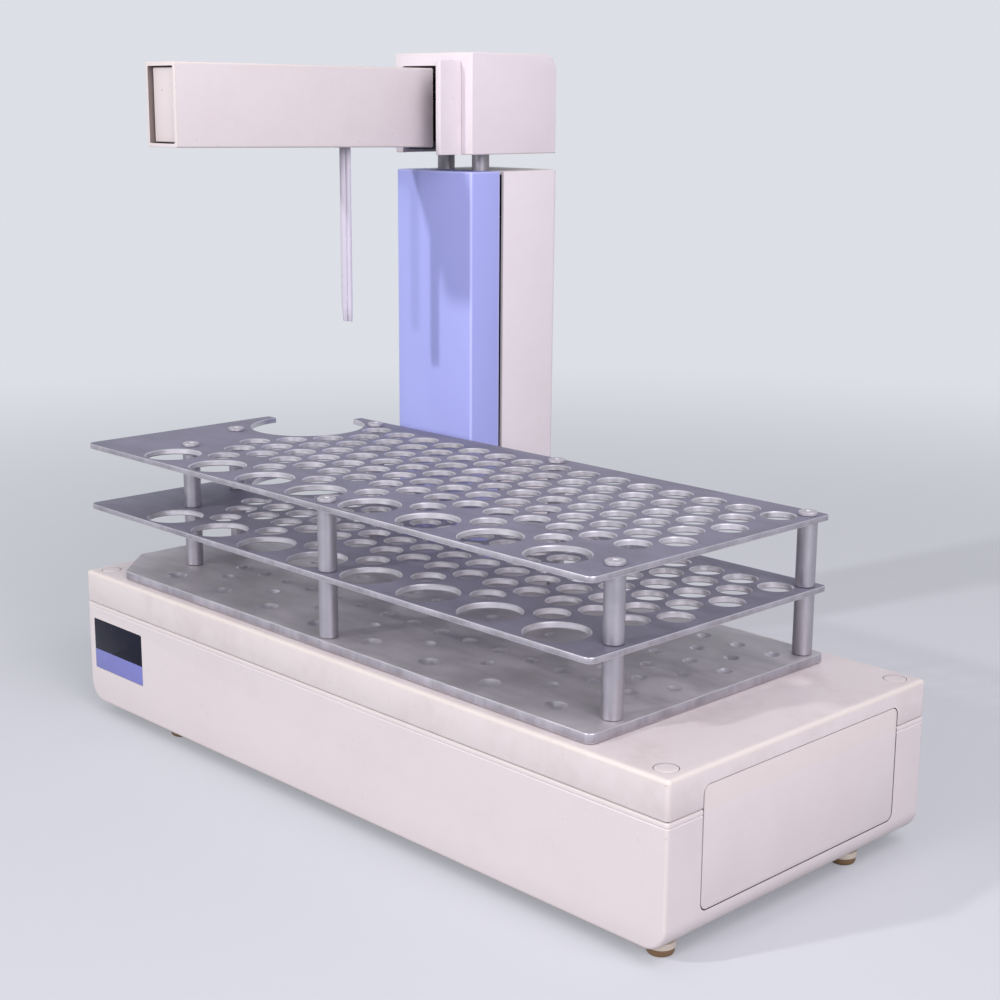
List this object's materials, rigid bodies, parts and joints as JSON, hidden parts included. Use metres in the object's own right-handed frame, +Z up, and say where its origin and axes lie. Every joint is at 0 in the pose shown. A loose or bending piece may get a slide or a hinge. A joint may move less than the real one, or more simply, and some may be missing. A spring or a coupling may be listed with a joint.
{
  "type": "autosampler",
  "caption": "Laboratory autosampler: perforated tube tray on a long flat base, with an arm and probe on a lift tower that slides along the rear.",
  "frame": {"origin": "bottom centre of the whole object at rest, on the surface it stands on", "axes": "+X along the base towards the access panel, -Y to the front with the badge plate, +Y to the tower, +Z up"},
  "size_m": [0.55, 0.3234, 0.4684],
  "materials": {
    "casing": "satin, warm light grey",
    "column_blue": "satin periwinkle blue",
    "badge": "satin, plain two-tone",
    "tray_metal": "anodised grey",
    "post_metal": "satin",
    "steel": "ground",
    "frame": "black anodised",
    "motor": "black",
    "belt": "matte",
    "foot": "matte amber brown",
    "probe": "satin white",
    "connector": "black"
  },
  "bodies": {
    "base": {"lower_shell": "casing", "top_cover": "casing", "access_panel": "casing", "badge_plate": "badge", "foot_front_right": "foot", "foot_rear_right": "foot", "foot_front_left": "foot", "foot_rear_left": "foot", "corner_plug_front_left": "casing", "corner_plug_front_right": "casing", "corner_plug_rear_right": "casing", "corner_plug_rear_left": "casing", "power_inlet": "connector", "serial_port": "post_metal", "x_rail": "steel", "x_motor": "motor", "x_belt": "belt"},
    "switch": {"power_switch": "connector"},
    "x_drive_pulley": {"x_motor_pulley": "post_metal"},
    "x_return_pulley": {"x_idler_pulley": "post_metal"},
    "tower": {"x_carriage": "frame", "column_front_cover": "column_blue", "column_rear_cover": "casing", "column_frame": "frame", "z_motor": "motor", "guide_block": "frame"},
    "lead_screw": {"z_screw": "steel"},
    "head": {"head_cover": "casing", "head_frame": "frame", "arm_cheek": "casing", "lift_rod_left": "steel", "lift_rod_right": "steel", "lift_nut": "frame", "arm_housing": "casing", "arm_end_block": "casing", "y_rail": "steel", "y_motor": "motor", "y_belt": "belt"},
    "y_drive_pulley": {"y_motor_pulley": "post_metal"},
    "y_return_pulley": {"y_idler_pulley": "post_metal"},
    "probe": {"probe_carriage": "frame", "probe_holder": "probe"},
    "tray": {"tray_base_plate": "tray_metal", "tray_middle_plate": "tray_metal", "tray_top_plate": "tray_metal", "tray_post_1": "post_metal", "tray_post_2": "post_metal", "tray_post_3": "post_metal", "tray_post_4": "post_metal", "tray_post_5": "post_metal", "tray_post_6": "post_metal", "tray_post_7": "post_metal", "post_screw_1": "steel", "post_screw_2": "steel", "post_screw_3": "steel", "post_screw_4": "steel", "post_screw_5": "steel", "post_screw_6": "steel", "post_screw_7": "steel"}
  },
  "joints": [
    {"name": "tower_slide", "type": "slide", "parent": "base", "child": "tower", "axis": [1, 0, 0], "range_m": [-0.044, 0.374]},
    {"name": "head_lift", "type": "slide", "parent": "tower", "child": "head", "axis": [0, 0, 1], "range_m": [-0.01, 0.13]},
    {"name": "probe_slide", "type": "slide", "parent": "head", "child": "probe", "axis": [0, 1, 0], "range_m": [-0.137, 0.024]},
    {"name": "tray_lift_off", "type": "slide", "parent": "base", "child": "tray", "axis": [0, 0, 1], "range_m": [0, 0.04]},
    {"name": "switch_rock", "type": "hinge", "parent": "base", "child": "switch", "pos_m": [-0.2691, -0.07205, 0.047], "axis": [0, 1, 0], "range_deg": [-16, 0]},
    {"name": "x_drive_pulley_spin", "type": "hinge", "parent": "base", "child": "x_drive_pulley", "pos_m": [-0.2345, 0.0122, 0.062], "axis": [0, 0, 1], "range_deg": [-2464.1, 290.8]},
    {"name": "x_return_pulley_spin", "type": "hinge", "parent": "base", "child": "x_return_pulley", "pos_m": [0.246, 0.0122, 0.062], "axis": [0, 0, 1], "range_deg": [-2464.1, 290.8]},
    {"name": "lead_screw_spin", "type": "hinge", "parent": "tower", "child": "lead_screw", "pos_m": [-0.16305, 0.12925, 0.08], "axis": [0, 0, 1], "range_deg": [-5851, 451]},
    {"name": "y_drive_pulley_spin", "type": "hinge", "parent": "head", "child": "y_drive_pulley", "pos_m": [-0.1727, 0.11175, 0.4472], "axis": [1, 0, 0], "range_deg": [-1402.7, 246.6]},
    {"name": "y_return_pulley_spin", "type": "hinge", "parent": "head", "child": "y_return_pulley", "pos_m": [-0.1727, -0.13075, 0.4472], "axis": [1, 0, 0], "range_deg": [-1402.7, 246.6]}
  ],
  "couplings": [
    {"joint": "x_drive_pulley_spin", "follows": "tower_slide", "rad_per_m": -114.94},
    {"joint": "x_return_pulley_spin", "follows": "tower_slide", "rad_per_m": -114.94},
    {"joint": "lead_screw_spin", "follows": "head_lift", "rad_per_m": -785.4},
    {"joint": "y_drive_pulley_spin", "follows": "probe_slide", "rad_per_m": 178.57},
    {"joint": "y_return_pulley_spin", "follows": "probe_slide", "rad_per_m": 178.57}
  ]
}
